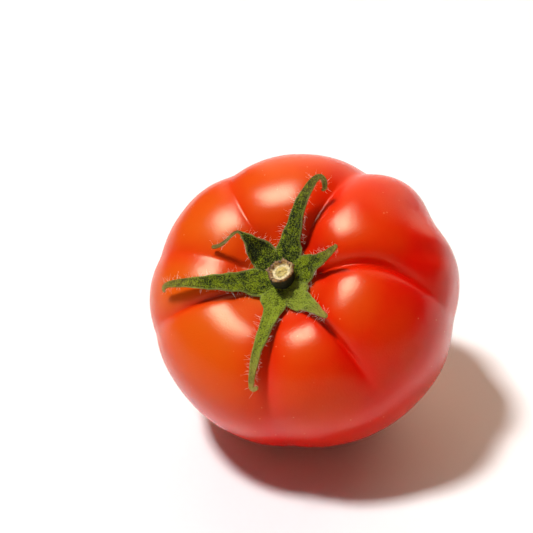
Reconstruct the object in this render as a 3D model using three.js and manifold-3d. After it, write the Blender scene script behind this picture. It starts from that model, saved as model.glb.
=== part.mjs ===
// A ribbed beefsteak tomato with its green calyx and a stub of stem, lying on the flat spot under one side.
//
// Millimetres, +Z up. The origin is on the flat spot that the fruit rests on, straight below its middle.
// The stem end leans towards -Y and a little towards -X.
//
// The fruit is described in a frame of its own: +Z runs out of the stem end, azimuths are degrees
// anticlockwise about that axis, and the origin is the middle of the fruit.
import * as THREE from "three";
import { mergeVertices } from "three/addons/utils/BufferGeometryUtils.js";
import Module from "manifold-3d";

// Fruit
const FRUIT_RADIUS = 42.2; // middle of the fruit to a lobe's crest, before the lobe's own bulge
const FRUIT_HALF_HEIGHT = 34; // middle of the fruit to either end, before the hollows there
const SHOULDER_ROUNDNESS = 0.84; // 1 is an ellipsoid, less has squarer shoulders
const STEM_CAVITY = { depth: 11.5, width: 11.5 };
const BLOSSOM_DIMPLE = { depth: 3, width: 10 };
const HEEL_DROP = 5; // how much further the blossom end has grown than the stem end
const FLAT_SPOT_DEPTH = 2; // how much of the round underside the flat spot takes away

// How far the middle of the fruit lies to one side of the stem's axis. A ribbed fruit is seldom even.
const LOPSIDEDNESS = { x: -0.6, y: -0.3 };

// How much fuller the shoulder is on one side, at its fullest azimuth.
const FULL_SHOULDER = { azimuth: 170, fullness: 1.4 };

// Each groove has its azimuth, how far it bends away from that towards the rim, its depths over the shoulder
// and at the rim, and its half-width. The lobe that follows it anticlockwise stands out by bulge from
// FRUIT_RADIUS.
const GROOVES = [
  { azimuth: 9, bend: -15, shoulder: 4.4, rim: 1.4, width: 3.8, bulge: 2.5 },
  { azimuth: 60, bend: 0, shoulder: 4.4, rim: 4.0, width: 4.4, bulge: -1.0 },
  { azimuth: 120, bend: -5, shoulder: 2.2, rim: 2.0, width: 5.0, bulge: -0.5 },
  { azimuth: 163, bend: 2, shoulder: 2.3, rim: 1.2, width: 5.0, bulge: 0.4 },
  { azimuth: 196, bend: 0, shoulder: 3.7, rim: 1.4, width: 4.2, bulge: -1.0 },
  { azimuth: 264, bend: 0, shoulder: 3.1, rim: 1.7, width: 4.6, bulge: -2.3 },
  { azimuth: 313, bend: -4, shoulder: 2.9, rim: 0, width: 4.6, bulge: -0.7 },
];
const SIDE_FOLD = { azimuth: 29, depth: 2.6, width: 8.5 }; // a shallow fold at the rim of the widest lobe

// How far down from the stem end each feature of the skin comes or goes, in degrees.
const BANDS = {
  cavityEdge: [4, 16],
  shoulderToRim: [35, 85],
  groovesBend: [25, 85],
  groovesEnd: [90, 150],
  foldStarts: [40, 70],
  foldEnds: [100, 135],
  shoulderRises: [18, 48],
  shoulderFalls: [48, 78],
  heel: [108, 158],
  awayFromStem: [0, 60],
};

// Calyx and stem
const CLEARANCE = 0.3; // between any two pieces that touch
const CALYX_BASE = { radius: 6.6, thickness: 1.5 };
const SEPAL = { thickness: 0.9, tipThickness: 0.7, tipWidth: 0.9, footSquareness: 0.2, tipSquareness: 0.45 };
const STEM = { radius: 3.3, footRadius: 4.1, length: 5.6, rimWidth: 1.1, pithDepth: 0.5, lean: { x: 0.7, y: 0.6 } };

// Each sepal's midrib goes through points of distance, azimuth and lift: how far from the base's edge, which
// way from the stem's axis, and how high over the skin.
const SEPALS = [
  {
    name: "sepal_back",
    width: 6.6,
    midrib: [
      [0, 73.5, 1],
      [2.7, 74, 1.5],
      [6.9, 72, 2.5],
      [10.5, 70, 4],
      [13.6, 68.5, 5],
      [16.5, 67, 6],
      [18.4, 65, 7],
      [19, 62.5, 7],
      [18.6, 60.5, 6],
      [17.9, 61.5, 5],
    ],
  },
  {
    name: "sepal_folded",
    width: 6.6,
    midrib: [
      [0, 124, 1.2],
      [1.6, 126, 3],
      [3.8, 128, 6],
      [5.3, 132, 8],
      [6, 138, 7.5],
      [7.5, 146, 5],
      [9.9, 153, 2.5],
      [12.5, 156, 1.1],
    ],
  },
  {
    name: "sepal_left",
    width: 6.2,
    midrib: [
      [0, 189, 1.1],
      [2.4, 188, 2.2],
      [5.5, 188, 3],
      [9, 187.5, 4],
      [12.5, 186, 4],
      [16.5, 184.5, 4],
      [19.2, 184, 4],
      [20.9, 184.5, 3],
      [21.5, 186, 2],
    ],
  },
  {
    name: "sepal_front",
    width: 6.8,
    midrib: [
      [0, 259.5, 1],
      [3.5, 259, 1.5],
      [8.9, 259, 2],
      [12.6, 258, 2],
      [15.9, 257.5, 2],
      [19.3, 257.5, 2.1],
      [21.2, 258, 2.5],
      [22.2, 258.5, 3],
      [22.6, 260, 3.5],
      [22, 262, 4.1],
    ],
  },
  {
    name: "sepal_stubby",
    width: 6.4,
    midrib: [
      [0, 308, 1.1],
      [2.7, 313.5, 2],
      [6.8, 316.5, 3],
      [9.8, 318, 3.5],
      [11, 319, 4],
    ],
  },
  {
    name: "sepal_right",
    width: 6.4,
    midrib: [
      [0, 18, 1.6],
      [1.6, 17.5, 2.8],
      [4.5, 16.5, 4.1],
      [7.7, 17, 5.5],
      [9.8, 18, 7],
    ],
  },
];

// How it lies
const LEAN = 42; // degrees between the stem's axis and upright
const LEAN_AZIMUTH = 21.5; // degrees from -Y towards -X

// Mesh fineness
const FRUIT_MESH = { around: 72, along: 44, stemEndBias: 1.35 };
const SEPAL_MESH = { around: 10, along: 22 };
const ROUND_SEGMENTS = 28;

const COLOURS = { skin: "#d8290c", sepal: "#4f7d26", calyx: "#5c8a2c", stem: "#8a7440" };

const RIGHT_ANGLE = Math.PI / 2;
const { degToRad } = THREE.MathUtils;
const wasm = await Module();
wasm.setup();

const ease = (x) => THREE.MathUtils.smoothstep(x, 0, 1);
const past = ([start, end], down) => ease((down - degToRad(start)) / degToRad(end - start));

// The signed angle from one azimuth to another, the short way round.
function turnBetween(from, to) {
  return THREE.MathUtils.euclideanModulo(to - from + Math.PI, 2 * Math.PI) - Math.PI;
}

// How far the lobes stand out at an azimuth: eased from the middle of one lobe to the middle of the next.
function bulgeAt(azimuth) {
  const middles = GROOVES.map((groove, i) => {
    const next = GROOVES[(i + 1) % GROOVES.length];
    const span = THREE.MathUtils.euclideanModulo(next.azimuth - groove.azimuth, 360);
    return degToRad(groove.azimuth + span / 2);
  });
  const i = middles.findIndex((middle, k) => {
    const width = THREE.MathUtils.euclideanModulo(middles[(k + 1) % middles.length] - middle, 2 * Math.PI);
    return THREE.MathUtils.euclideanModulo(azimuth - middle, 2 * Math.PI) < width;
  });
  const next = (i + 1) % middles.length;
  const width = THREE.MathUtils.euclideanModulo(middles[next] - middles[i], 2 * Math.PI);
  const share = THREE.MathUtils.euclideanModulo(azimuth - middles[i], 2 * Math.PI) / width;
  const blend = (1 - Math.cos(Math.PI * share)) / 2;
  return THREE.MathUtils.lerp(GROOVES[i].bulge, GROOVES[next].bulge, blend);
}

// How deep the grooves cut at an azimuth, a distance from the stem's axis, and an angle down from the stem end.
function grooveDepth(azimuth, reach, down) {
  const reachesRim = past(BANDS.shoulderToRim, down);
  const shows = past(BANDS.cavityEdge, down) * (1 - past(BANDS.groovesEnd, down));
  let depth = 0;
  for (const groove of GROOVES) {
    const floor = degToRad(groove.azimuth + groove.bend * past(BANDS.groovesBend, down));
    const across = Math.abs(turnBetween(floor, azimuth)) * Math.max(reach, 5);
    const deep = THREE.MathUtils.lerp(groove.shoulder, groove.rim, reachesRim);
    const wide = groove.width * (1 + 0.9 * reachesRim);
    depth += (shows * deep) / (1 + (across / wide) ** 1.7);
  }
  const foldShows = past(BANDS.foldStarts, down) * (1 - past(BANDS.foldEnds, down));
  const fromFold = Math.abs(turnBetween(degToRad(SIDE_FOLD.azimuth), azimuth)) * reach;
  return depth + SIDE_FOLD.depth * foldShows * Math.exp(-((fromFold / SIDE_FOLD.width) ** 2));
}

// How much fuller the shoulder is at an azimuth and an angle down from the stem end.
function extraFullness(azimuth, down) {
  const hump = past(BANDS.shoulderRises, down) * (1 - past(BANDS.shoulderFalls, down));
  return (FULL_SHOULDER.fullness * hump * (1 + Math.cos(azimuth - degToRad(FULL_SHOULDER.azimuth)))) / 2;
}

// A point of the skin, from its azimuth and its angle down from the stem end, both in radians.
function skinPoint(azimuth, down) {
  const sine = Math.sin(down);
  const cosine = Math.cos(down);
  const outline = FRUIT_RADIUS + bulgeAt(azimuth) * ease((sine - 0.2) / 0.8);
  const reach = outline * sine ** SHOULDER_ROUNDNESS;
  const height = FRUIT_HALF_HEIGHT * Math.sign(cosine) * Math.abs(cosine) ** SHOULDER_ROUNDNESS;
  const point = new THREE.Vector3(reach * Math.cos(azimuth), reach * Math.sin(azimuth), height);
  const extra = extraFullness(azimuth, down) - grooveDepth(azimuth, reach, down);
  point.addScaledVector(point.clone().normalize(), extra);
  const upperHalf = ease(cosine / 0.6 + 0.5);
  point.z -= STEM_CAVITY.depth * Math.exp(-((reach / STEM_CAVITY.width) ** 2)) * upperHalf;
  point.z += BLOSSOM_DIMPLE.depth * Math.exp(-((reach / BLOSSOM_DIMPLE.width) ** 2)) * (1 - upperHalf);
  point.z -= HEEL_DROP * past(BANDS.heel, down);
  const awayFromStem = past(BANDS.awayFromStem, down);
  point.x += LOPSIDEDNESS.x * awayFromStem;
  point.y += LOPSIDEDNESS.y * awayFromStem;
  return point;
}

// The angle down from the stem end at which the skin is this far from the stem's axis.
function downAt(reach) {
  return Math.asin((reach / FRUIT_RADIUS) ** (1 / SHOULDER_ROUNDNESS));
}

// The way out of the fruit at a point near its stem end, smoothed over the grooves.
function outwardAt(point) {
  const squash = (FRUIT_RADIUS / FRUIT_HALF_HEIGHT) ** 2;
  return new THREE.Vector3(point.x, point.y, FRUIT_HALF_HEIGHT * squash).normalize();
}

// Moves every vertex of a unit sphere: place(azimuth, down) gives where the vertex at those two angles goes.
function mouldedSphere(around, along, place) {
  const geometry = new THREE.SphereGeometry(1, around, along);
  geometry.rotateX(RIGHT_ANGLE);
  const position = geometry.getAttribute("position");
  const vertex = new THREE.Vector3();
  for (let i = 0; i < position.count; i++) {
    vertex.fromBufferAttribute(position, i);
    const azimuth = Math.atan2(vertex.y, vertex.x);
    const down = Math.acos(THREE.MathUtils.clamp(vertex.z, -1, 1));
    const moved = place(azimuth, down);
    position.setXYZ(i, moved.x, moved.y, moved.z);
  }
  return closed(geometry);
}

// The same geometry with only positions, and its shared vertices merged.
function closed(geometry) {
  geometry.deleteAttribute("normal");
  geometry.deleteAttribute("uv");
  return mergeVertices(geometry, 1e-4);
}

function toSolid(geometry) {
  return new wasm.Manifold(
    new wasm.Mesh({
      numProp: 3,
      vertProperties: new Float32Array(geometry.getAttribute("position").array),
      triVerts: new Uint32Array(geometry.index.array),
    }),
  );
}

function toGeometry(solid) {
  const mesh = solid.getMesh();
  const geometry = new THREE.BufferGeometry();
  geometry.setAttribute("position", new THREE.BufferAttribute(mesh.vertProperties, 3));
  geometry.setIndex(new THREE.BufferAttribute(mesh.triVerts, 1));
  geometry.computeVertexNormals();
  return geometry;
}

function named(name, geometry, colour, roughness) {
  const material = new THREE.MeshStandardMaterial({ color: colour, roughness, metalness: 0 });
  const mesh = new THREE.Mesh(geometry, material);
  mesh.name = name;
  return mesh;
}

// The rotation that leans the stem's axis over, with azimuth 0 kept as near to +X as it can be.
function leaning() {
  const lean = degToRad(LEAN);
  const towards = degToRad(LEAN_AZIMUTH);
  const stemAxis = new THREE.Vector3(
    -Math.sin(lean) * Math.sin(towards),
    -Math.sin(lean) * Math.cos(towards),
    Math.cos(lean),
  );
  const right = new THREE.Vector3(1, 0, 0).projectOnPlane(stemAxis).normalize();
  const back = stemAxis.clone().cross(right);
  return new THREE.Matrix4().makeBasis(right, back, stemAxis);
}

// The whole fruit before it is flattened underneath. Its rings of vertices crowd towards the stem end.
function roundFruit() {
  return mouldedSphere(FRUIT_MESH.around, FRUIT_MESH.along, (azimuth, down) => {
    const crowded = Math.PI * (down / Math.PI) ** FRUIT_MESH.stemEndBias;
    return skinPoint(azimuth, crowded);
  });
}

// The flat spot: its middle, in the fruit's frame.
function flatSpot(geometry, lean) {
  const position = geometry.getAttribute("position");
  const vertex = new THREE.Vector3();
  let lowest = Infinity;
  for (let i = 0; i < position.count; i++) {
    vertex.fromBufferAttribute(position, i).applyMatrix4(lean);
    lowest = Math.min(lowest, vertex.z);
  }
  const floor = new THREE.Vector3(0, 0, lowest + FLAT_SPOT_DEPTH);
  return floor.applyMatrix4(lean.clone().invert());
}

// Cuts away what lies below the floor.
function flattened(geometry, spot, lean) {
  const side = 4 * FRUIT_RADIUS;
  const block = closed(new THREE.BoxGeometry(side, side, side));
  block.translate(0, 0, -side / 2);
  block.applyMatrix4(lean.clone().invert());
  block.translate(spot.x, spot.y, spot.z);
  return toGeometry(toSolid(geometry).subtract(toSolid(block)));
}

// The top of the calyx base at a distance from the stem's axis.
function calyxBaseTop(reach, azimuth = 0) {
  const rim = Math.min(reach / CALYX_BASE.radius, 1);
  const domed = (1 + Math.sqrt(1 - rim ** 2)) / 2;
  return skinPoint(azimuth, downAt(reach)).z + CLEARANCE + CALYX_BASE.thickness * domed;
}

// The disc that the sepals grow from, which follows the bottom of the stem cavity.
function calyxBase() {
  const geometry = mouldedSphere(ROUND_SEGMENTS, 12, (azimuth, down) => {
    const reach = CALYX_BASE.radius * Math.sin(down);
    const point = skinPoint(azimuth, downAt(reach));
    point.z += CLEARANCE + (CALYX_BASE.thickness * (1 + Math.cos(down))) / 2;
    return point;
  });
  return named("calyx_base", geometry, COLOURS.calyx, 0.7);
}

// The stub of stem: a flared foot, a waist, and a dry cut end with a rim around the sunken pith.
function stem() {
  const footAt = (reach) => [reach, calyxBaseTop(reach) + CLEARANCE];
  const footEdge = footAt(STEM.footRadius)[1];
  const cut = footAt(0)[1] + STEM.length;
  const profile = [
    footAt(0),
    footAt(STEM.footRadius / 3),
    footAt((STEM.footRadius * 2) / 3),
    footAt(STEM.footRadius),
    [STEM.radius, footEdge + 1.4],
    [STEM.radius, cut - 1.2],
    [STEM.radius + 0.3, cut - 0.4],
    [STEM.radius, cut],
    [STEM.radius - STEM.rimWidth, cut - 0.1],
    [STEM.radius - STEM.rimWidth - 0.3, cut - STEM.pithDepth],
    [0, cut - STEM.pithDepth / 2],
  ];
  const geometry = new THREE.LatheGeometry(
    profile.map(([radius, height]) => new THREE.Vector2(radius, height)),
    ROUND_SEGMENTS,
  );
  geometry.rotateX(RIGHT_ANGLE);
  const position = geometry.getAttribute("position");
  for (let i = 0; i < position.count; i++) {
    const share = THREE.MathUtils.clamp((position.getZ(i) - footEdge) / (cut - footEdge), 0, 1);
    position.setX(i, position.getX(i) + STEM.lean.x * share);
    position.setY(i, position.getY(i) + STEM.lean.y * share);
  }
  return named("stem_stub", closed(geometry), COLOURS.stem, 0.9);
}

// The midrib as a curve that starts clear of the calyx base's edge.
function midribOf(sepal) {
  const edge = CALYX_BASE.radius + CLEARANCE + SEPAL.thickness / 2;
  const points = sepal.midrib.map(([distance, azimuth, lift]) => {
    const point = skinPoint(degToRad(azimuth), downAt(edge + distance));
    return point.addScaledVector(outwardAt(point), lift);
  });
  return new THREE.CatmullRomCurve3(points, false, "centripetal");
}

// A sepal: broad where it leaves the base and tapering along its midrib to a narrow tip.
function sepalMesh(sepal) {
  const midrib = midribOf(sepal);
  const geometry = mouldedSphere(SEPAL_MESH.around, SEPAL_MESH.along, (azimuth, down) => {
    const along = (1 - Math.cos(down)) / 2;
    const share = THREE.MathUtils.lerp(down / Math.PI, along, 0.35);
    const centre = midrib.getPointAt(share);
    const tangent = midrib.getTangentAt(share);
    const outward = outwardAt(centre);
    const side = tangent.clone().cross(outward).normalize();
    const normal = side.clone().cross(tangent).normalize();
    const blunt = Math.sin(down) ** (down < RIGHT_ANGLE ? SEPAL.footSquareness : SEPAL.tipSquareness);
    const width = THREE.MathUtils.lerp(sepal.width, SEPAL.tipWidth, ease(share) ** 0.8);
    const thickness = THREE.MathUtils.lerp(SEPAL.thickness, SEPAL.tipThickness, share);
    centre.addScaledVector(side, (Math.cos(azimuth) * blunt * width) / 2);
    return centre.addScaledVector(normal, (Math.sin(azimuth) * blunt * thickness) / 2);
  });
  return named(sepal.name, geometry, COLOURS.sepal, 0.75);
}

const lean = leaning();
const fruitShape = roundFruit();
const spot = flatSpot(fruitShape, lean);

const inFruitFrame = new THREE.Group();
inFruitFrame.add(named("fruit", flattened(fruitShape, spot, lean), COLOURS.skin, 0.25));
inFruitFrame.add(calyxBase(), stem(), ...SEPALS.map(sepalMesh));
inFruitFrame.setRotationFromMatrix(lean);
inFruitFrame.position.z = -spot.clone().applyMatrix4(lean).z;

const tomato = new THREE.Group();
tomato.name = "tomato";
tomato.add(inFruitFrame);
export default tomato;
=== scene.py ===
"""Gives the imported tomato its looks: a fine glossy skin, hairy green sepals and a corky stub of stem.

The script is laid out as an add-on, with one operator for each group of pieces and one for the stage.
Lengths are in metres and +Z is up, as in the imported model. The fruit also has a frame of its own, where +Z
runs out of the stem end, azimuths go anticlockwise about that axis, and "down" is an angle measured from the
stem end.
"""
import math
import random
from collections import namedtuple

import bmesh
import bpy
from bpy.props import FloatProperty, FloatVectorProperty, PointerProperty
from bpy.types import Operator, Panel, PropertyGroup
from mathutils import Matrix, Vector, noise


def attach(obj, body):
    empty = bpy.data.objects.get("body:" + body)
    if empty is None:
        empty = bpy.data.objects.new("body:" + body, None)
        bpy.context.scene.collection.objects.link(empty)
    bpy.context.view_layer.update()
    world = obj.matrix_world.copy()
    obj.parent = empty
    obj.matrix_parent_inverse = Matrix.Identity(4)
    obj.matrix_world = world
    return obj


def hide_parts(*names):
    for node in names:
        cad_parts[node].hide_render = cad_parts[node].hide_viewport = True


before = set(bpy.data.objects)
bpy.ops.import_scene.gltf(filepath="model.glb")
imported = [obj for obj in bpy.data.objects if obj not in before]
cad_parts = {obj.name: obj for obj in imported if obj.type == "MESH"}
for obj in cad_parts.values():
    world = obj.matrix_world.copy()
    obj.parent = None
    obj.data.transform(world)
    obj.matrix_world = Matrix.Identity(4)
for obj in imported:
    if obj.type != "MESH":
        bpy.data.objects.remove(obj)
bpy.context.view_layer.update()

bl_info = {
    "name": "Ribbed Tomato",
    "version": (1, 0, 0),
    "blender": (4, 5, 0),
    "location": "3D View > Sidebar > Tomato",
    "description": "Grows a ribbed tomato with its calyx and a stub of stem around the packed model",
    "category": "Add Mesh",
}

MM = 0.001
UP = Vector((0, 0, 1))

# A groove runs from the stem cavity over the shoulder and fades below the rim. Its depths, half-width, the
# bulge of the lobe that follows it and the depth of the sharp crease along its floor are in millimetres. Bend
# is how many degrees of azimuth it wanders on its way over the rim, and the crease ends so many degrees down.
Groove = namedtuple("Groove", "azimuth bend shoulder rim width bulge crease crease_end")
GROOVES = (
    Groove(9, -15, 4.4, 1.4, 3.8, 2.5, 1.6, 95),
    Groove(60, 0, 4.4, 4.0, 4.4, -1.0, 1.3, 52),
    Groove(120, -5, 2.2, 2.0, 5.0, -0.5, 0.5, 45),
    Groove(163, 2, 2.3, 1.2, 5.0, 0.4, 0.3, 30),
    Groove(196, 0, 1.7, 0.8, 3.4, -1.0, 1.3, 60),
    Groove(264, 0, 3.1, 1.7, 4.6, -2.3, 0.5, 60),
    Groove(313, -4, 2.9, 0.0, 4.6, -0.7, 1.3, 68),
)
# A fold dents one flank of the fruit between two angles down. Its depth and half-width are in millimetres.
Fold = namedtuple("Fold", "azimuth depth width start end")
FOLDS = (Fold(29, 2.6, 8.5, 40, 100), Fold(12, 0.9, 3.0, 38, 62))
# The width of a crease near the stem, and the radius of its rounded floor.
CREASE_WIDTH = 0.8 * MM
CREASE_FLOOR = 0.25 * MM
# How steeply a groove's sides rise from its floor.
GROOVE_SIDES = 1.7

# A band of angles down, in degrees, over which something comes or goes.
Band = namedtuple("Band", "start span")
LEAVES_CAVITY = Band(4, 12)
WANDERS = Band(25, 60)
REACHES_RIM = Band(35, 50)
GROOVE_FADES = Band(90, 60)
FULLNESS_COMES = Band(18, 30)
FULLNESS_GOES = Band(48, 30)
HEEL_COMES = Band(108, 50)
LOPSIDEDNESS_COMES = Band(0, 60)
ORANGE_GOES = Band(20, 75)
COLLAR_GOES = Band(22, 28)

# The azimuth of the side with the fuller shoulder, which is also the lit side where the shoulder's orange is
# painted stronger as painted light, and how far the fruit's middle stands off the stem's axis.
FULL_AND_LIT_SIDE = math.radians(170)
LOPSIDEDNESS = Vector((-0.6, -0.3, 0)) * MM

# The fruit's mesh starts from a sphere of this many segments, and is crowded towards the stem end.
MESH_AROUND = 400
MESH_DOWN = 220
MESH_CROWDING = 1.15
UNEVENNESS = 0.25 * MM
FLAT_SPOT_EDGE = 1.2 * MM
SCAR_SPAN = math.radians(3.2)

# A sepal's midrib goes through points of distance past the calyx base, azimuth and lift over the skin. Root
# is the azimuth at which it leaves the stem, early is 1 if it narrows by its middle, trough is how far its
# edges curl up, tone goes from dark to light green, partly the sepal's own green and partly painted shade on
# sepals turned away from the lamp and painted light on those turned to it, and age browns its tip.
Sepal = namedtuple("Sepal", "name width root early trough tone age midrib")
SEPALS = (
    Sepal("back", 6.4, 75, 0, 0.5, 0.15, 0.5, (
        (0, 73.5, 1.5), (2.7, 74, 1.8), (6.9, 72, 2.5), (10.5, 70, 4), (13.6, 68.5, 5), (16.5, 67, 6),
        (18.4, 65, 7), (19, 62.5, 7), (18.6, 60.5, 6), (17.9, 61.5, 5),
    )),
    Sepal("folded", 7.4, 131, 1, 0.6, 0.0, 0.7, (
        (0, 129, 1.6), (2.2, 130, 3), (4.4, 131, 5.6), (5.8, 133, 7.2), (6.4, 139, 6.9), (7.8, 147, 4.7),
        (10, 153, 2.5), (12.5, 156, 1.1),
    )),
    Sepal("left", 7.0, 190, 0, 0.7, 0.45, 0.6, (
        (0, 189, 1.6), (2.4, 188, 2.1), (5.5, 188, 2.5), (9, 187.5, 2.9), (12.5, 186, 3), (16.5, 184.5, 3.2),
        (19.2, 184, 3.4), (20.9, 184.5, 2.8), (21.5, 186, 2),
    )),
    Sepal("front", 5.4, 258, 0, 0.5, 1.05, 0.9, (
        (0, 259.5, 1.5), (3.5, 259, 1.7), (8.9, 259, 2), (12.6, 258, 2), (15.9, 257.5, 2), (19.3, 257.5, 2.1),
        (21.2, 258, 2.5), (22.2, 258.5, 3), (22.6, 260, 3.5), (22, 262, 4.1),
    )),
    Sepal("stubby", 6.4, 310, 0, 0.3, 1.25, 0.8, (
        (0, 308, 1.5), (2.7, 313.5, 2), (6.8, 316.5, 3), (9.8, 317.5, 3.5), (11.6, 318.5, 4),
    )),
    Sepal("right", 5.8, 20, 0, 0.4, 0.5, 0.6, (
        (0, 18, 1.8), (1.6, 17.5, 2.8), (4.5, 16.5, 4.1), (7.7, 17, 5.5), (9.8, 18, 7),
    )),
)
# Distances from the stem's axis: where a midrib starts, where it leaves the calyx base, the valley between
# two sepals, and the stretch over which a sepal stops lying on the base and follows its midrib.
ROOT_REACH = 2.4 * MM
CALYX_EDGE = 7.35 * MM
VALLEY_REACH = 7.4 * MM
DRAPE_START = 5 * MM
DRAPE_SPAN = 5 * MM
# Heights over the skin: the start of a midrib, and the top and the underside of the calyx base.
ROOT_LIFT = 2.0 * MM
BASE_TOP = 1.75 * MM
BASE_UNDERSIDE = 0.35 * MM
# A sepal's surface: its waved edge, sunken midrib, ruffle, and the bumps of its fused root.
EDGE_WAVE = 0.5 * MM
MIDRIB_DEPTH = 0.45 * MM
MIDRIB_WIDTH = 0.16
RUFFLE = 0.4 * MM
ROOT_BUMPS = 0.45 * MM
ROOT_DROOP = 0.45 * MM
TIP_START = 0.975
TIP_SPAN = 0.025
# The share of a sepal's hairs that stand on its edges, and how far in a hair is rooted.
HAIRS_ON_EDGES = 0.6
HAIR_ROOTED = 0.1 * MM


def srgb(code):
    """Turns an sRGB hex colour into linear RGB."""
    values = [int(code[i:i + 2], 16) / 255 for i in (1, 3, 5)]
    return tuple(v / 12.92 if v <= 0.04045 else ((v + 0.055) / 1.055) ** 2.4 for v in values)


def length(name, description, millimetres):
    return FloatProperty(
        name=name, description=description, default=millimetres * MM, unit="LENGTH", precision=5
    )


def angle(name, description, degrees):
    return FloatProperty(name=name, description=description, default=math.radians(degrees), subtype="ANGLE")


def watts(name, default):
    return FloatProperty(name=name, description="In watts", default=default)


def direction(name, description, default):
    return FloatVectorProperty(name=name, description=description, default=default, subtype="DIRECTION")


def colour(name, description, code):
    return FloatVectorProperty(
        name=name, description=description, default=srgb(code), subtype="COLOR", min=0, max=1
    )


class FruitSettings(PropertyGroup):
    radius: length("Radius", "Stem axis to a lobe's crest, before the lobe's own bulge", 42.2)
    half_height: length("Half height", "Middle of the fruit to its stem end, before the cavity", 34)
    roundness: FloatProperty(name="Shoulder roundness", description="Less than 1 is squarer", default=0.84)
    cavity_depth: length("Cavity depth", "How deep the stem end sinks in", 11.5)
    cavity_width: length("Cavity width", "How wide the stem end's hollow is", 11.5)
    dimple_depth: length("Dimple depth", "How deep the blossom end sinks in", 3)
    dimple_width: length("Dimple width", "How wide the blossom end's hollow is", 10)
    fullness: length("Fullness", "How much fuller one side's shoulder is", 1.4)
    heel_drop: length("Heel drop", "How much further the blossom end has grown", 5)
    flat_depth: length("Flat spot depth", "How much of the round underside the flat spot takes away", 2)
    lean: angle("Lean", "Stem axis from upright", 42)
    lean_azimuth: angle("Lean azimuth", "From -Y towards -X", 21.5)
    # The shoulder red is partly the fruit's own orange shoulder and partly painted light on the lit side; the
    # ripe red stays in the grooves, where the orange is held back as painted shade.
    ripe: colour("Ripe red", "The deep red of the belly and the grooves", "#D00C01")
    shoulder: colour("Shoulder red", "The orange red of the lobes around the stem", "#CE5E0A")
    gloss: colour("Gloss tint", "The pale yellow that tints the gloss of the wax", "#DED49E")
    scar: colour("Blossom scar", "The small corky spot at the blossom end", "#8A5A33")
    speck: colour("Speck", "The pale lenticels on the skin", "#F6B27C")


class CalyxSettings(PropertyGroup):
    base_radius: length("Base radius", "The stem's axis to the edge of the green disc", 6.3)
    thickness: length("Thickness", "How thick a sepal is", 0.55)
    tip_width: length("Tip width", "How wide a sepal is just behind its tip", 1.0)
    leaf: colour("Leaf green", "The green of a sepal's upper side", "#9CB014")
    # The darker green between the grains is also the painted shade that sepals with a low tone are pushed
    # towards.
    shade: colour("Dark and shaded green", "The darker green between the veins", "#1C2602")
    edge: colour("Edge green", "The pale green of veins and edges", "#A2AC5C")
    tip: colour("Dry tip", "The yellowish brown of a drying tip", "#A9924A")
    hairs_per_mm: FloatProperty(name="Hairs", description="Hairs along one edge, per millimetre", default=2)
    hair_length: length("Hair length", "The length of a long hair", 2.0)
    hair_radius: length("Hair radius", "Half the thickness of a hair at its root", 0.024)
    hair: colour("Hair", "The near white of the fine hairs", "#F4F0D8")


class StemSettings(PropertyGroup):
    radius: length("Radius", "The stub's radius below the cut", 3.15)
    height: length("Height", "The calyx to the cut", 6.3)
    lean_right: length("Lean to azimuth 0", "How far the cut end leans to azimuth 0", 0.7)
    lean_back: length("Lean to azimuth 90", "How far the cut end leans to azimuth 90", 0.6)
    slant: angle("Slant", "The cut's own tilt, down to azimuth 90", 29)
    bark: colour("Bark", "The dark green bark", "#141904")
    cork: colour("Cork", "The dry corky rim", "#A67A2E")
    dark_cork: colour("Dark cork", "The brown fibres in the rim", "#4A2C0C")
    wood: colour("Wood", "The cream ring of wood inside the rim", "#E2CB90")
    pith: colour("Pith", "The moist pith in the middle", "#D6BC5C")


class StageSettings(PropertyGroup):
    camera_distance: length("Camera distance", "Camera to the middle of the fruit", 343.22)
    camera_elevation: angle("Camera elevation", "Over the horizon", 36)
    aim: FloatVectorProperty(
        name="Aim",
        description="What the camera looks at, from the middle of the fruit",
        default=(-11.04 * MM, 5.55 * MM, 7.63 * MM),
        subtype="TRANSLATION",
    )
    focal_length: FloatProperty(name="Focal length", description="In millimetres", default=85)
    lamp_distance: length("Lamp distance", "Every lamp to the fruit", 2500)
    softbox_side: length("Softbox side", "The side of the softbox, which is seen in the gloss only", 1500)
    softbox_power: watts("Softbox power", 320)
    softbox_tint: colour("Softbox tint", "The cool daylight of the softbox", "#BCD8F4")
    softbox_from: direction("Softbox direction", "From the fruit to the softbox and the key", (-0.4, -0.1, 1))
    key_side: length("Key side", "The side of the key lamp, which casts the shadow and gives no gloss", 340)
    key_power: watts("Key power", 74)
    backdrop_side: length("Backdrop side", "The side of the glowing white backdrop", 3500)
    backdrop_power: watts("Backdrop power", 57)
    backdrop_tint: colour("Backdrop tint", "The warm light that the backdrop sends back", "#FFDAB8")
    backdrop_from: direction("Backdrop direction", "From the fruit to the backdrop", (0.25, 1, 0.75))
    reflector_side: length("Reflector side", "The side of a warm card in front, which gives no gloss", 1500)
    reflector_power: watts("Reflector power", 15)
    reflector_tint: colour("Reflector tint", "The warm light of the card", "#FFC89C")
    reflector_from: direction("Reflector direction", "From the fruit to the card", (0.1, -1, 0.08))
    room: colour("Room", "The dim room around the table", "#484644")
    table: colour("Table", "The pale table top", "#E8E8E9")


def ease(x):
    """0 below 0, 1 above 1, and smooth in between."""
    x = min(max(x, 0), 1)
    return x * x * (3 - 2 * x)


def mix(a, b, share):
    return a + (b - a) * share


def through(down, band):
    """How far through a band an angle down is: 0 before it, and 1 beyond it."""
    return ease((down - math.radians(band.start)) / math.radians(band.span))


def turn_between(a, b):
    """The angle between two azimuths, the short way round."""
    return abs((b - a + math.pi) % (2 * math.pi) - math.pi)


def lobe_middles():
    """The azimuth and the bulge of each lobe's middle, in order round the fruit."""
    middles = []
    for groove, following in zip(GROOVES, GROOVES[1:] + GROOVES[:1]):
        span = (following.azimuth - groove.azimuth) % 360
        middles.append((math.radians(groove.azimuth + span / 2) % (2 * math.pi), groove.bulge * MM))
    return sorted(middles)


LOBES = lobe_middles()


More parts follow.
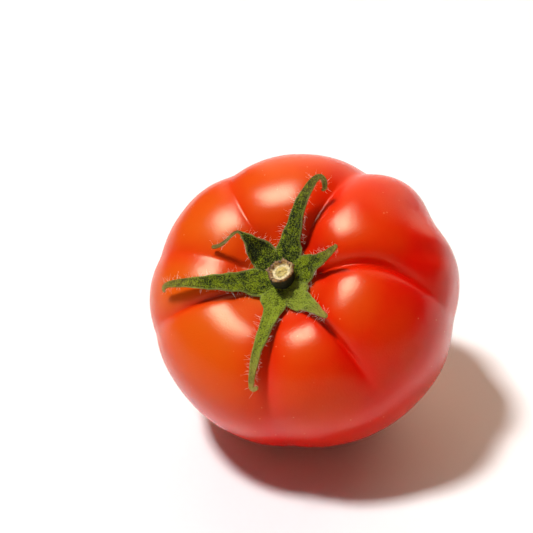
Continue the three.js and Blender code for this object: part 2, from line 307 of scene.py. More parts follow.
def bulge_at(azimuth):
    """How far the lobes stand out at an azimuth."""
    azimuth %= 2 * math.pi
    for (start, bulge), (end, next_bulge) in zip(LOBES, LOBES[1:] + LOBES[:1]):
        span = (end - start) % (2 * math.pi)
        past = (azimuth - start) % (2 * math.pi)
        if past < span:
            return mix(bulge, next_bulge, (1 - math.cos(math.pi * past / span)) / 2)
    return LOBES[0][1]


def grooves_at(azimuth, reach, down):
    """How deep the grooves are at a place, and how deep their creases are."""
    leaves_cavity = through(down, LEAVES_CAVITY)
    reaches_rim = through(down, REACHES_RIM)
    lasts = 1 - through(down, GROOVE_FADES)
    wanders = through(down, WANDERS)
    depth = 0
    creases = 0
    for groove in GROOVES:
        floor = math.radians(groove.azimuth + groove.bend * wanders)
        across = turn_between(floor, azimuth) * max(reach, 5 * MM)
        deep = mix(groove.shoulder, groove.rim, reaches_rim) * MM
        wide = groove.width * MM * (1 + 0.9 * reaches_rim)
        depth += leaves_cavity * lasts * deep / (1 + (across / wide) ** GROOVE_SIDES)
        sharp = 1 - through(down, Band(groove.crease_end / 2, groove.crease_end / 2))
        from_crease = math.hypot(across, CREASE_FLOOR) - CREASE_FLOOR
        spread = CREASE_WIDTH * (1 + 1.6 * reaches_rim)
        creases += leaves_cavity * sharp * groove.crease * MM * math.exp(-from_crease / spread)
    for fold in FOLDS:
        shows = through(down, Band(fold.start, 30)) * (1 - through(down, Band(fold.end, 35)))
        across = turn_between(math.radians(fold.azimuth), azimuth) * reach
        depth += fold.depth * MM * shows * math.exp(-((across / (fold.width * MM)) ** 2))
    return depth, creases


def skin_point(fruit, azimuth, down):
    """A point of the skin in the fruit's frame, and how deep it lies in the grooves."""
    sine = math.sin(down)
    cosine = math.cos(down)
    outline = fruit.radius + bulge_at(azimuth) * ease((sine - 0.2) / 0.8)
    reach = outline * sine ** fruit.roundness
    height = math.copysign(fruit.half_height * abs(cosine) ** fruit.roundness, cosine)
    point = Vector((reach * math.cos(azimuth), reach * math.sin(azimuth), height))
    depth, creases = grooves_at(azimuth, reach, down)
    hump = through(down, FULLNESS_COMES) * (1 - through(down, FULLNESS_GOES))
    fuller = fruit.fullness * hump * (1 + math.cos(azimuth - FULL_AND_LIT_SIDE)) / 2
    point += point.normalized() * (fuller - depth - creases)
    upper_half = ease(cosine / 0.6 + 0.5)
    point.z -= fruit.cavity_depth * math.exp(-((reach / fruit.cavity_width) ** 2)) * upper_half
    point.z += fruit.dimple_depth * math.exp(-((reach / fruit.dimple_width) ** 2)) * (1 - upper_half)
    point.z -= fruit.heel_drop * through(down, HEEL_COMES)
    point += LOPSIDEDNESS * through(down, LOPSIDEDNESS_COMES)
    return point, depth + creases


def down_at(fruit, reach):
    """The angle down from the stem end at which the skin is this far from the stem's axis."""
    return math.asin((reach / fruit.radius) ** (1 / fruit.roundness))


def outward_at(fruit, point):
    """The way out of the fruit at a point near its stem end, smoothed over the grooves."""
    squash = (fruit.radius / fruit.half_height) ** 2
    return Vector((point.x, point.y, fruit.half_height * squash)).normalized()


def over_skin(fruit, reach, azimuth, lift):
    """A point lifted off the skin, from its reach, its azimuth in degrees, and its lift."""
    point = skin_point(fruit, math.radians(azimuth), down_at(fruit, reach))[0]
    return point + outward_at(fruit, point) * lift


def lay_down(fruit):
    """The matrix that takes the fruit's frame to how it lies on its flat spot."""
    tilt = math.sin(fruit.lean)
    turned = fruit.lean_azimuth
    axis = Vector((-tilt * math.sin(turned), -tilt * math.cos(turned), math.cos(fruit.lean)))
    right = (Vector((1, 0, 0)) - axis * axis.x).normalized()
    turn = Matrix((right, axis.cross(right), axis)).transposed()
    steps = 96
    lowest = min(
        (turn @ skin_point(fruit, 2 * math.pi * i / steps, math.pi * k / steps)[0]).z
        for i in range(steps)
        for k in range(steps // 2, steps)
    )
    return Matrix.Translation((0, 0, -lowest - fruit.flat_depth)) @ turn.to_4x4()


def smooth_path(points, samples):
    """Evenly spaced points along a smooth curve through the given ones."""
    ends = [points[0] * 2 - points[1], *points, points[-1] * 2 - points[-2]]
    dense = []
    for a, b, c, d in zip(ends, ends[1:], ends[2:], ends[3:]):
        for k in range(24):
            t = k / 24
            dense.append(0.5 * (2 * b + (c - a) * t + (2 * a - 5 * b + 4 * c - d) * t ** 2
                                + (3 * b - a - 3 * c + d) * t ** 3))
    dense.append(points[-1])
    reached = [0]
    for a, b in zip(dense, dense[1:]):
        reached.append(reached[-1] + (b - a).length)
    path = []
    i = 0
    for k in range(samples):
        wanted = reached[-1] * k / (samples - 1)
        while i < len(dense) - 2 and reached[i + 1] < wanted:
            i += 1
        gap = reached[i + 1] - reached[i]
        path.append(dense[i].lerp(dense[i + 1], (wanted - reached[i]) / gap if gap else 0))
    return path


def along_path(path, share):
    """The place and the direction at a share of a path's length."""
    place = min(max(share, 0), 1) * (len(path) - 1)
    i = min(int(place), len(path) - 2)
    before = path[max(i - 1, 0)]
    after = path[min(i + 2, len(path) - 1)]
    return path[i].lerp(path[i + 1], place - i), (after - before).normalized()


def add_node(tree, kind, inputs=None, **settings):
    """Adds a node with its settings. An input is given a value, or a socket to link from."""
    node = tree.nodes.new(kind)
    for name, value in settings.items():
        setattr(node, name, value)
    for name, value in (inputs or {}).items():
        if isinstance(value, bpy.types.NodeSocket):
            tree.links.new(value, node.inputs[name])
        else:
            node.inputs[name].default_value = value
    return node


def new_material(name):
    """A material with an empty tree, its output, and the piece's own coordinates."""
    material = bpy.data.materials.new(name)
    material.use_nodes = True
    tree = material.node_tree
    tree.nodes.clear()
    return material, tree, add_node(tree, "ShaderNodeTexCoord").outputs["Object"]


def rgba(rgb):
    return (*rgb, 1)


def per_metre(millimetres):
    """The scale that gives a pattern this size."""
    return 1 / (millimetres * MM)


def finish_material(tree, shader, bump=None):
    if bump:
        tree.links.new(bump.outputs["Normal"], shader.inputs["Normal"])
    add_node(tree, "ShaderNodeOutputMaterial", {"Surface": shader.outputs["BSDF"]})


def skin_material(fruit):
    """Ripe tomato skin: a thin waxy cuticle over red flesh.

    The wax gives a soft-edged, faintly yellow gloss. The flesh lets a little light through and goes from deep
    red to orange towards the stem, in broad mottles; the orange is partly its own and partly painted light,
    stronger on the lit side and kept out of the grooves as painted shade. Pale pinprick lenticels and a fine
    pebbling break it up.
    """
    material, tree, place = new_material("ripe tomato skin")
    # The shoulder attribute mixes in orange: partly the fruit's own shoulder colour, partly painted light on
    # the lit side, and held back in the grooves as painted shade.
    orange_and_lit = add_node(tree, "ShaderNodeAttribute", attribute_name="shoulder").outputs["Fac"]
    patches = add_node(
        tree, "ShaderNodeTexNoise", {"Vector": place, "Scale": per_metre(22), "Detail": 3, "Roughness": 0.55}
    )
    mottled = add_node(
        tree, "ShaderNodeMath", {0: patches.outputs["Fac"], 1: 0.5, 2: orange_and_lit}, operation="MULTIPLY_ADD"
    )
    shift = add_node(
        tree, "ShaderNodeMapRange", {"Value": mottled.outputs[0], "From Min": 0.25, "From Max": 1.25}
    )
    flesh = add_node(
        tree, "ShaderNodeMix",
        {"Factor": shift.outputs["Result"], 6: rgba(fruit.ripe), 7: rgba(fruit.shoulder)}, data_type="RGBA",
    )
    cells = add_node(tree, "ShaderNodeTexVoronoi", {"Vector": place, "Scale": per_metre(2.4)})
    dot = add_node(
        tree, "ShaderNodeMapRange",
        {"Value": cells.outputs["Distance"], "From Min": 0.05, "From Max": 0.1, "To Min": 0.3, "To Max": 0},
    )
    chosen = add_node(tree, "ShaderNodeMath", {0: cells.outputs["Color"], 1: 0.62}, operation="GREATER_THAN")
    specks = add_node(
        tree, "ShaderNodeMath", {0: dot.outputs["Result"], 1: chosen.outputs[0]}, operation="MULTIPLY"
    )
    speckled = add_node(
        tree, "ShaderNodeMix", {"Factor": specks.outputs[0], 6: flesh.outputs[2], 7: rgba(fruit.speck)},
        data_type="RGBA",
    )
    scar = add_node(tree, "ShaderNodeAttribute", attribute_name="scar").outputs["Fac"]
    scarred = add_node(
        tree, "ShaderNodeMix", {"Factor": scar, 6: speckled.outputs[2], 7: rgba(fruit.scar)}, data_type="RGBA"
    )
    pebbles = add_node(
        tree, "ShaderNodeTexNoise", {"Vector": place, "Scale": per_metre(0.5), "Detail": 2, "Roughness": 0.6}
    )
    bump = add_node(
        tree, "ShaderNodeBump", {"Height": pebbles.outputs["Fac"], "Strength": 1, "Distance": 0.06 * MM}
    )
    shader = add_node(
        tree, "ShaderNodeBsdfPrincipled",
        {
            "Base Color": scarred.outputs[2], "Roughness": 0.23, "IOR": 1.38,
            "Specular Tint": rgba(fruit.gloss), "Subsurface Weight": 0.1,
            "Subsurface Radius": (1.0, 0.2, 0.1), "Subsurface Scale": 1.5 * MM,
        },
    )
    finish_material(tree, shader, bump)
    return material


def leaf_material(calyx, name, tone, age):
    """Sepal tissue: a soft matt leaf.

    It is dark green between raised grains that are paler, has pale glands and edges, and dries to a yellow
    brown at the tip. Hairs too fine to model leave a slight sheen. A low tone pushes the whole sepal towards
    the darker green as painted shade, and a high tone makes it paler, with brighter glands, as painted light.
    """
    material, tree, place = new_material(name)
    across_along = add_node(tree, "ShaderNodeUVMap", uv_map="leaf").outputs["UV"]
    parts = add_node(tree, "ShaderNodeSeparateXYZ", {"Vector": across_along})
    sideways = add_node(tree, "ShaderNodeMath", {0: parts.outputs["X"], 1: 0.5}, operation="SUBTRACT")
    off_middle = add_node(tree, "ShaderNodeMath", {0: sideways.outputs[0]}, operation="ABSOLUTE")
    grains = add_node(
        tree, "ShaderNodeTexNoise", {"Vector": place, "Scale": per_metre(0.25), "Detail": 2, "Roughness": 0.5}
    )
    blotches = add_node(
        tree, "ShaderNodeTexNoise", {"Vector": place, "Scale": per_metre(2.5), "Detail": 3, "Roughness": 0.6}
    )
    along_leaf = add_node(tree, "ShaderNodeMapping", {"Vector": across_along, "Scale": (9, 2.5, 1)})
    veins = add_node(
        tree, "ShaderNodeTexNoise", {"Vector": along_leaf.outputs["Vector"], "Scale": 1, "Detail": 2}
    )
    grainy = add_node(
        tree, "ShaderNodeMath", {0: grains.outputs["Fac"], 1: 2, 2: blotches.outputs["Fac"]},
        operation="MULTIPLY_ADD",
    )
    relief = add_node(
        tree, "ShaderNodeMath", {0: veins.outputs["Fac"], 1: 0.3, 2: grainy.outputs[0]},
        operation="MULTIPLY_ADD",
    )
    # Painted shade and light: a low tone darkens the whole sepal, and a high tone pales it towards the edge
    # green.
    darkest = mix(1.66, 1.4, tone)
    leaf = Vector(calyx.leaf).lerp(Vector(calyx.edge), max(tone - 0.8, 0) * 0.7)
    shade = add_node(
        tree, "ShaderNodeMapRange",
        {"Value": relief.outputs[0], "From Min": darkest, "From Max": darkest + 0.36},
    )
    green = add_node(
        tree, "ShaderNodeMix", {"Factor": shade.outputs["Result"], 6: rgba(calyx.shade), 7: rgba(leaf)},
        data_type="RGBA",
    )
    glands = add_node(tree, "ShaderNodeTexVoronoi", {"Vector": place, "Scale": per_metre(0.45)})
    # The glands are brighter on sepals with a high tone, as painted light.
    dots = add_node(
        tree, "ShaderNodeMapRange",
        {
            "Value": glands.outputs["Distance"], "From Min": 0.1, "From Max": 0.3,
            "To Min": mix(0.4, 0.7, tone), "To Max": 0,
        },
    )
    rim = add_node(
        tree, "ShaderNodeMapRange",
        {"Value": off_middle.outputs[0], "From Min": 0.4, "From Max": 0.5, "To Max": 0.7},
    )
    pale = add_node(
        tree, "ShaderNodeMath", {0: dots.outputs["Result"], 1: rim.outputs["Result"]}, operation="MAXIMUM"
    )
    edged = add_node(
        tree, "ShaderNodeMix", {"Factor": pale.outputs[0], 6: green.outputs[2], 7: rgba(calyx.edge)},
        data_type="RGBA",
    )
    tip = add_node(
        tree, "ShaderNodeMapRange",
        {"Value": parts.outputs["Y"], "From Min": 0.55, "From Max": 1.0, "To Max": age * 1.7},
    )
    dry = add_node(
        tree, "ShaderNodeMath", {0: tip.outputs["Result"], 1: blotches.outputs["Fac"]},
        operation="MULTIPLY", use_clamp=True,
    )
    dried = add_node(
        tree, "ShaderNodeMix", {"Factor": dry.outputs[0], 6: edged.outputs[2], 7: rgba(calyx.tip)},
        data_type="RGBA",
    )
    bump = add_node(
        tree, "ShaderNodeBump", {"Height": relief.outputs[0], "Strength": 1, "Distance": 0.48 * MM}
    )
    shader = add_node(
        tree, "ShaderNodeBsdfPrincipled",
        {
            "Base Color": dried.outputs[2], "Roughness": 0.55, "Specular IOR Level": 0.07,
            "Sheen Weight": 0.02, "Sheen Roughness": 0.4, "Sheen Tint": rgba(calyx.hair),
        },
    )
    finish_material(tree, shader, bump)
    return material


def hair_material(calyx):
    """Plant hairs: colourless tapering cells, which catch the light as near-white threads."""
    material, tree, _ = new_material("plant hair")
    shader = add_node(tree, "ShaderNodeBsdfPrincipled", {"Base Color": rgba(calyx.hair), "Roughness": 0.4})
    finish_material(tree, shader)
    return material


def stem_material(stem):
    """A snapped green stalk: dark bark, a rim of torn brown cork, a cream ring of wood and moist pith."""
    material, tree, place = new_material("snapped stalk")
    grain = add_node(
        tree, "ShaderNodeTexNoise", {"Vector": place, "Scale": per_metre(0.7), "Detail": 5, "Roughness": 0.7}
    )
    fibres = add_node(
        tree, "ShaderNodeMapRange", {"Value": grain.outputs["Fac"], "From Min": 0.38, "From Max": 0.58}
    )
    layers = add_node(
        tree, "ShaderNodeMix",
        {"Factor": fibres.outputs["Result"], 6: rgba(stem.dark_cork), 7: rgba(stem.cork)}, data_type="RGBA",
    ).outputs[2]
    for attribute, under in (("cork", stem.bark), ("wood", None), ("pith", None)):
        share = add_node(tree, "ShaderNodeAttribute", attribute_name=attribute).outputs["Fac"]
        below = rgba(under) if under else layers
        stained = () if under else rgba(Vector(getattr(stem, attribute)) * 0.45)
        above = layers if under else add_node(
            tree, "ShaderNodeMix",
            {"Factor": fibres.outputs["Result"], 6: stained, 7: rgba(getattr(stem, attribute))},
            data_type="RGBA",
        ).outputs[2]
        layers = add_node(
            tree, "ShaderNodeMix", {"Factor": share, 6: below, 7: above}, data_type="RGBA"
        ).outputs[2]
    bump = add_node(
        tree, "ShaderNodeBump", {"Height": grain.outputs["Fac"], "Strength": 1, "Distance": 0.3 * MM}
    )
    shader = add_node(tree, "ShaderNodeBsdfPrincipled", {"Base Color": layers, "Roughness": 0.65})
    finish_material(tree, shader, bump)
    return material


def table_material(stage):
    """Matt laminate: an even, pale, slightly soft-shining table top."""
    material, tree, place = new_material("matt white laminate")
    grain = add_node(tree, "ShaderNodeTexNoise", {"Vector": place, "Scale": per_metre(3), "Detail": 2})
    bump = add_node(
        tree, "ShaderNodeBump", {"Height": grain.outputs["Fac"], "Strength": 0.05, "Distance": 0.02 * MM}
    )
    shader = add_node(
        tree, "ShaderNodeBsdfPrincipled",
        {"Base Color": rgba(stage.table), "Roughness": 0.75, "Specular IOR Level": 0.2},
    )
    finish_material(tree, shader, bump)
    return material


def new_piece(bm, name, material, slot=None, node=None):
    """Turns a bmesh into a finished object that rides on the fruit's body and stands for a CAD node."""
    for face in bm.faces:
        face.smooth = True
    mesh = bpy.data.meshes.new(name)
    bm.to_mesh(mesh)
    bm.free()
    mesh.materials.append(material)
    piece = bpy.data.objects.new(name, mesh)
    bpy.context.scene.collection.objects.link(piece)
    if slot:
        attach(piece, "root")
    if node:
        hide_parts(node)
    return piece


class TOMATO_OT_stage(Operator):
    """Sets the table, the lamps, the dim room and the camera"""
    bl_idname = "tomato.stage"
    bl_label = "Stage"

    def execute(self, context):
        scene = context.scene
        stage = scene.tomato_stage
        middle = lay_down(scene.tomato_fruit).translation
        bm = bmesh.new()
        bmesh.ops.create_circle(bm, cap_ends=True, segments=96, radius=4)
        new_piece(bm, "table_top", table_material(stage))

        for name, source, way, tint, glossy, diffuse in (
            ("softbox", "softbox", stage.softbox_from, stage.softbox_tint, True, False),
            ("key_lamp", "key", stage.softbox_from, (1, 1, 1), False, True),
            ("backdrop", "backdrop", stage.backdrop_from, stage.backdrop_tint, True, True),
            ("reflector", "reflector", stage.reflector_from, stage.reflector_tint, False, True),
        ):
            light = bpy.data.lights.new(name, "AREA")
            light.size = getattr(stage, f"{source}_side")
            light.energy = getattr(stage, f"{source}_power")
            light.color = tint
            lamp = bpy.data.objects.new(name, light)
            lamp.location = middle + Vector(way).normalized() * stage.lamp_distance
            lamp.rotation_euler = Vector(way).to_track_quat("Z", "Y").to_euler()
            lamp.visible_glossy = glossy
            lamp.visible_diffuse = diffuse
            scene.collection.objects.link(lamp)

        world = bpy.data.worlds.new("dim room")
        world.use_nodes = True
        world.node_tree.nodes["Background"].inputs["Color"].default_value = rgba(stage.room)
        scene.world = world

        camera = bpy.data.objects.new("camera", bpy.data.cameras.new("camera"))
        camera.data.lens = stage.focal_length
        away = Vector((0, -math.cos(stage.camera_elevation), math.sin(stage.camera_elevation)))
        camera.location = middle + away * stage.camera_distance
        backwards = camera.location - middle - Vector(stage.aim)
        camera.rotation_euler = backwards.to_track_quat("Z", "Y").to_euler()
        scene.collection.objects.link(camera)
        scene.camera = camera
        scene.view_settings.view_transform = "Standard"
        return {"FINISHED"}


class TOMATO_OT_fruit(Operator):
    """Grows the fruit from a sphere: lobes, grooves, stem cavity, blossom end and flat spot"""
    bl_idname = "tomato.fruit"
    bl_label = "Fruit"

    def execute(self, context):
        fruit = context.scene.tomato_fruit
        laid = lay_down(fruit)
        bm = bmesh.new()
        bmesh.ops.create_uvsphere(bm, u_segments=MESH_AROUND, v_segments=MESH_DOWN, radius=1)
        shoulder = bm.verts.layers.float.new("shoulder")
        scar = bm.verts.layers.float.new("scar")
        for vertex in bm.verts:
            azimuth = math.atan2(vertex.co.y, vertex.co.x)
            down = math.acos(min(max(vertex.co.z, -1), 1))
            down = math.pi * (down / math.pi) ** MESH_CROWDING
            point, depth = skin_point(fruit, azimuth, down)
            point += point.normalized() * noise.noise(point * per_metre(16)) * UNEVENNESS
            # The shoulder mask is partly the fruit's own orange shoulder near the stem and partly painted
            # light: it is made stronger on the lit side and held back in the grooves as painted shade, so the
            # grooves keep the deep red.
            grooved = ease(depth / (4 * MM))
            lit_side = 0.6 + 0.4 * math.cos(azimuth - FULL_AND_LIT_SIDE)
            orange = lit_side * (1 - through(down, ORANGE_GOES))
            collar = 0.65 * (1 - through(down, COLLAR_GOES))
            vertex[shoulder] = max(orange, collar) * (1 - 0.8 * grooved)
            vertex[scar] = 1 - ease((math.pi - down) / SCAR_SPAN - 0.6)
            point = laid @ point
            point.z = (point.z + math.hypot(point.z, FLAT_SPOT_EDGE)) / 2
            vertex.co = point
        new_piece(bm, "tomato_fruit", skin_material(fruit), "skin", "fruit")
        return {"FINISHED"}


def sepal_path(fruit, sepal):
    """The line of a sepal's midrib, from under the stem to its tip."""
    points = [over_skin(fruit, ROOT_REACH, sepal.root, ROOT_LIFT)]
    for far, azimuth, lift in sepal.midrib:
        points.append(over_skin(fruit, CALYX_EDGE + far * MM, azimuth, lift * MM))
    return smooth_path(points, 160)


def path_length(path):
    return (len(path) - 1) * (path[1] - path[0]).length


def half_gap(sepal, side):
    """Half the angle from a sepal to its neighbour on one side, which is -1 or 1."""
    i = SEPALS.index(sepal)
    neighbour = SEPALS[(i - int(side)) % len(SEPALS)]
    return math.radians((neighbour.root - sepal.root) * -side % 360) / 2


def half_width(calyx, sepal, side, reach, past):
    """Half a sepal's width on one side: it fills its sector up to the valley, then tapers to its tip."""
    half = half_gap(sepal, side)
    fills = reach * math.tan(half) * 1.08
    valley = VALLEY_REACH * math.sin(half)
    narrowing = mix(past ** 0.8, ease(past * 1.8), sepal.early)
    taper = mix(sepal.width * MM, calyx.tip_width, narrowing) / 2
    if past >= 0.5:
        return min(fills, taper)
    return min(fills, mix(valley, taper, ease((reach - VALLEY_REACH * math.cos(half)) / (3.2 * MM))))


def leaf_point(fruit, calyx, sepal, path, across, along):
    """A point of a sepal's upper side, and the way up from it.

    Across goes from -1 to 1, and along from 0 to 1.
    """
    centre, forward = along_path(path, along)
    outward = outward_at(fruit, centre)
    side = forward.cross(outward).normalized()
    above = side.cross(forward).normalized()
    fused = (CALYX_EDGE - ROOT_REACH) / path_length(path)
    past = max(along - fused, 0) / (1 - fused)
    reach = math.hypot(centre.x, centre.y)
    width = half_width(calyx, sepal, 1 if across > 0 else -1, reach, past)
    width *= math.sqrt(max(1 - (max(along - TIP_START, 0) / TIP_SPAN) ** 2, 0.0004))
    wave = noise.noise(Vector((along * 9, sepal.root, across * 2))) * EDGE_WAVE
    flat = centre + side * across * (width + wave * ease(past * 6) * (1 - past))
    arch = mix(-0.5 * MM, sepal.trough * MM * (1 - ease(past)), ease(past * 3.2))
    rib = MIDRIB_DEPTH * math.exp(-((across / MIDRIB_WIDTH) ** 2))
    rib *= ease(along * 5) * (1 - ease(along * 1.1 - 0.1))
    ruffle = noise.noise(Vector((along * 11, across * 1.4, sepal.root * 0.37))) * RUFFLE * (1 - past)
    ribbon = flat + above * (arch * across ** 2 - rib + ruffle * abs(across) ** 1.5)
    if past >= 0.5:
        return ribbon, above
    lift = BASE_TOP + noise.noise(flat * per_metre(1.7)) * ROOT_BUMPS - ROOT_DROOP * across ** 4
    reach_here = min(math.hypot(flat.x, flat.y), 12 * MM)
    draped = over_skin(fruit, reach_here, math.degrees(math.atan2(flat.y, flat.x)), lift)
    return draped.lerp(ribbon, ease((reach - DRAPE_START) / DRAPE_SPAN)), above


def grow_hair(bm, template, root, way, long, thick, droop):
    """Adds a bent, tapering copy of the template hair."""
    turn = way.to_track_quat("Z", "Y")
    grown = bmesh.ops.duplicate(bm, geom=template)["geom"]
    for vertex in (g for g in grown if isinstance(g, bmesh.types.BMVert)):
        rise = vertex.co.z
        local = Vector((vertex.co.x * thick, vertex.co.y * thick, rise * long))
        vertex.co = root + turn @ local + droop * rise ** 2


def hair_template(bm):
    """A thin cone a unit long with rings to bend at, as geometry to copy."""
    bmesh.ops.create_cone(bm, cap_ends=True, segments=4, radius1=1, radius2=0.3, depth=1,
                          matrix=Matrix.Translation((0, 0, 0.5)))
    for height in (0.3, 0.55, 0.8):
        whole = bm.verts[:] + bm.edges[:] + bm.faces[:]
        bmesh.ops.bisect_plane(bm, geom=whole, plane_co=(0, 0, height), plane_no=UP)
    return bm.verts[:] + bm.edges[:] + bm.faces[:]


class TOMATO_OT_sepals(Operator):
    """Grows the six sepals from flat grids laid along their midribs"""
    bl_idname = "tomato.sepals"
    bl_label = "Sepals"

    def execute(self, context):
        fruit = context.scene.tomato_fruit
        calyx = context.scene.tomato_calyx
        laid = lay_down(fruit)
        for sepal in SEPALS:
            path = sepal_path(fruit, sepal)
            bm = bmesh.new()
            bm.loops.layers.uv.new("leaf")
            bmesh.ops.create_grid(bm, x_segments=16, y_segments=90, size=1, calc_uvs=True)
            for vertex in bm.verts:
                along = (vertex.co.y + 1) / 2
                vertex.co = laid @ leaf_point(fruit, calyx, sepal, path, vertex.co.x, along)[0]
            bmesh.ops.reverse_faces(bm, faces=bm.faces[:])
            material = leaf_material(calyx, f"{sepal.name} sepal tissue", sepal.tone, sepal.age)
            piece = new_piece(bm, f"sepal_{sepal.name}_leaf", material, "sepal", f"sepal_{sepal.name}")
            shell = piece.modifiers.new("thickness", "SOLIDIFY")
            shell.thickness = calyx.thickness
            shell.offset = -1
            rounded = piece.modifiers.new("rounded edges", "SUBSURF")
            rounded.levels = 1
            rounded.render_levels = 1
        return {"FINISHED"}


class TOMATO_OT_hairs(Operator):
    """Grows fine hairs along the edges and over the face of each sepal"""
    bl_idname = "tomato.hairs"
    bl_label = "Hairs"

    def execute(self, context):
        fruit = context.scene.tomato_fruit
        calyx = context.scene.tomato_calyx
        laid = lay_down(fruit)
        material = hair_material(calyx)
        for sepal in SEPALS:
            dice = random.Random(sepal.name)
            path = sepal_path(fruit, sepal)
            bm = bmesh.new()
            template = hair_template(bm)
            for _ in range(round(2 * path_length(path) / MM * calyx.hairs_per_mm)):
                on_edge = dice.random() < HAIRS_ON_EDGES
                across = dice.choice((-1, 1)) * (dice.uniform(0.9, 1) if on_edge else dice.uniform(0, 0.9))
                along = dice.uniform(0.18, 0.99)
                root, above = leaf_point(fruit, calyx, sepal, path, across, along)
                beside, _ = leaf_point(fruit, calyx, sepal, path, across * 0.7, along)
                sideways = (root - beside).normalized()
                scatter = Vector([dice.uniform(-0.5, 0.5) for _ in range(3)])
                leaning = sideways + above * 0.5 if on_edge else sideways * 0.2 + above * 0.8
                way = (leaning + scatter).normalized()
                long = calyx.hair_length * dice.uniform(0.25, 1) * (1 if on_edge else 0.5)
                droop = Vector([dice.uniform(-0.4, 0.4) for _ in range(3)]) * long
                grow_hair(bm, template, root - above * HAIR_ROOTED, way, long, calyx.hair_radius, droop)
            spare = [g for g in template if isinstance(g, bmesh.types.BMVert)]
            bmesh.ops.delete(bm, geom=spare, context="VERTS")
            bmesh.ops.transform(bm, matrix=laid, verts=bm.verts)
            new_piece(bm, f"sepal_{sepal.name}_hairs", material, "sepal")
        return {"FINISHED"}


class TOMATO_OT_calyx_base(Operator):
    """Swells the green disc that the sepals and the stem grow from"""
    bl_idname = "tomato.calyx_base"
    bl_label = "Calyx base"

    def execute(self, context):
        fruit = context.scene.tomato_fruit
        calyx = context.scene.tomato_calyx
        bm = bmesh.new()
        bm.loops.layers.uv.new("leaf")
        bmesh.ops.create_uvsphere(bm, u_segments=72, v_segments=24, radius=1, calc_uvs=True)
        for vertex in bm.verts:
            reach = math.hypot(vertex.co.x, vertex.co.y) * calyx.base_radius
            azimuth = math.degrees(math.atan2(vertex.co.y, vertex.co.x))
            lift = mix(BASE_UNDERSIDE, BASE_TOP, (vertex.co.z + 1) / 2)
            vertex.co = over_skin(fruit, reach, azimuth, lift)
        bmesh.ops.transform(bm, matrix=lay_down(fruit), verts=bm.verts)
        material = leaf_material(calyx, "calyx base tissue", 0.35, 0)
        new_piece(bm, "calyx_disc", material, "calyx", "calyx_base")
        return {"FINISHED"}


# The stub's outline as shares of its radius and height, from the foot over the torn rim to the pith.
STUB_PROFILE = (
    (1.5, 0.0), (1.25, 0.06), (1.1, 0.16), (1.02, 0.3), (0.99, 0.5), (0.99, 0.7), (1.0, 0.84), (1.05, 0.92),
    (1.08, 0.98), (1.02, 1.03), (0.93, 1.03), (0.85, 0.98), (0.79, 0.9), (0.73, 0.84), (0.62, 0.82),
    (0.5, 0.83), (0.4, 0.87), (0.25, 0.9), (0.12, 0.905), (0.0, 0.91),
)
# The height of the stub's foot over the skin, where its top starts, and how far its torn top stands up.
FOOT_LIFT = 1.2 * MM
TOP_START = 0.7
TOP_SPAN = 0.05
RIM_TEAR = 0.8 * MM
RIM_FRAY = 1.1 * MM
PITH_FRAY = 0.3 * MM
RIB_COUNT = 5
RIB_HEIGHT = 0.12 * MM


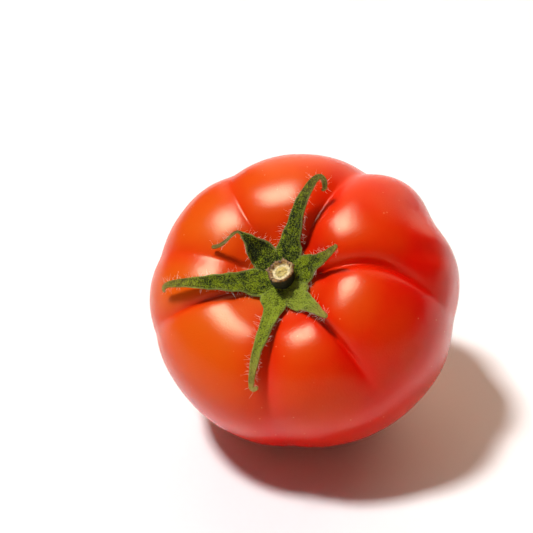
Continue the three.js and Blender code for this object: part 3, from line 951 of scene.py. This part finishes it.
class TOMATO_OT_stem(Operator):
    """Spins the stub of stem and tears its corky rim"""
    bl_idname = "tomato.stem"
    bl_label = "Stem"

    def execute(self, context):
        fruit = context.scene.tomato_fruit
        stem = context.scene.tomato_stem
        foot = over_skin(fruit, 0.01 * MM, 0, FOOT_LIFT).z
        outline = [Vector((r * stem.radius, 0, foot + h * stem.height)) for r, h in STUB_PROFILE]
        bm = bmesh.new()
        chain = [bm.verts.new(point) for point in smooth_path(outline, 70)]
        edges = [bm.edges.new(pair) for pair in zip(chain, chain[1:])]
        bmesh.ops.spin(
            bm, geom=chain + edges, cent=(0, 0, 0), axis=UP, angle=2 * math.pi, steps=96, use_merge=True
        )
        bmesh.ops.remove_doubles(bm, verts=bm.verts, dist=0.001 * MM)
        bmesh.ops.recalc_face_normals(bm, faces=bm.faces)
        cork = bm.verts.layers.float.new("cork")
        wood = bm.verts.layers.float.new("wood")
        pith = bm.verts.layers.float.new("pith")
        for vertex in bm.verts:
            reach = math.hypot(vertex.co.x, vertex.co.y) / stem.radius
            height = (vertex.co.z - foot) / stem.height
            around = Vector((vertex.co.x, vertex.co.y, 0)).normalized()
            rim = ease((height - 0.8) / 0.12) * ease((reach - 0.62) / 0.16)
            torn = noise.noise(Vector((around.x * 2.6, around.y * 2.6, 0.4 * reach)))
            fibres = noise.noise(Vector((around.x * 8, around.y * 8, reach * 3)))
            vertex[cork] = ease((height - 0.84 + 0.14 * fibres) / 0.06)
            top = ease((height - TOP_START) / TOP_SPAN)
            vertex[wood] = ease((0.86 - reach + 0.1 * fibres) / 0.08) * top
            vertex[pith] = ease((0.56 - reach + 0.08 * torn) / 0.12) * top
            vertex.co += around * rim * (0.5 * torn + 0.55 * fibres) * MM
            vertex.co.z += rim * (RIM_TEAR * torn + RIM_FRAY * fibres)
            vertex.co.z += ease((0.7 - reach) / 0.3) * top * fibres * PITH_FRAY
            ribs = math.cos(RIB_COUNT * math.atan2(around.y, around.x)) * RIB_HEIGHT
            vertex.co += around * ribs * (1 - rim) * ease(reach - 0.6)
            vertex.co.z -= math.tan(stem.slant) * vertex.co.y * ease((height - 0.3) / 0.5)
            vertex.co += Vector((stem.lean_right, stem.lean_back, 0)) * ease(height)
        bmesh.ops.transform(bm, matrix=lay_down(fruit), verts=bm.verts)
        new_piece(bm, "stem_stub_torn", stem_material(stem), "stem", "stem_stub")
        return {"FINISHED"}


class TOMATO_PT_panel(Panel):
    """Lists the tomato's sizes, colours and operators"""
    bl_idname = "TOMATO_PT_panel"
    bl_label = "Ribbed Tomato"
    bl_space_type = "VIEW_3D"
    bl_region_type = "UI"
    bl_category = "Tomato"

    def draw(self, context):
        for owner, operators in SECTIONS:
            box = self.layout.box()
            settings = getattr(context.scene, owner)
            for name in settings.__annotations__:
                box.prop(settings, name)
            for operator in operators:
                box.operator(operator.bl_idname)


SETTINGS = {
    "tomato_stage": StageSettings,
    "tomato_fruit": FruitSettings,
    "tomato_calyx": CalyxSettings,
    "tomato_stem": StemSettings,
}
SECTIONS = (
    ("tomato_stage", (TOMATO_OT_stage,)),
    ("tomato_fruit", (TOMATO_OT_fruit,)),
    ("tomato_calyx", (TOMATO_OT_calyx_base, TOMATO_OT_sepals, TOMATO_OT_hairs)),
    ("tomato_stem", (TOMATO_OT_stem,)),
)
OPERATORS = [operator for _, operators in SECTIONS for operator in operators]
CLASSES = (*SETTINGS.values(), *OPERATORS, TOMATO_PT_panel)


def register():
    for cls in CLASSES:
        bpy.utils.register_class(cls)
    for owner, settings in SETTINGS.items():
        setattr(bpy.types.Scene, owner, PointerProperty(type=settings))


def unregister():
    for owner in SETTINGS:
        delattr(bpy.types.Scene, owner)
    for cls in reversed(CLASSES):
        bpy.utils.unregister_class(cls)


def main():
    register()
    bpy.ops.tomato.stage()
    bpy.ops.tomato.fruit()
    bpy.ops.tomato.calyx_base()
    bpy.ops.tomato.sepals()
    bpy.ops.tomato.hairs()
    bpy.ops.tomato.stem()


if __name__ == "__main__":
    main()
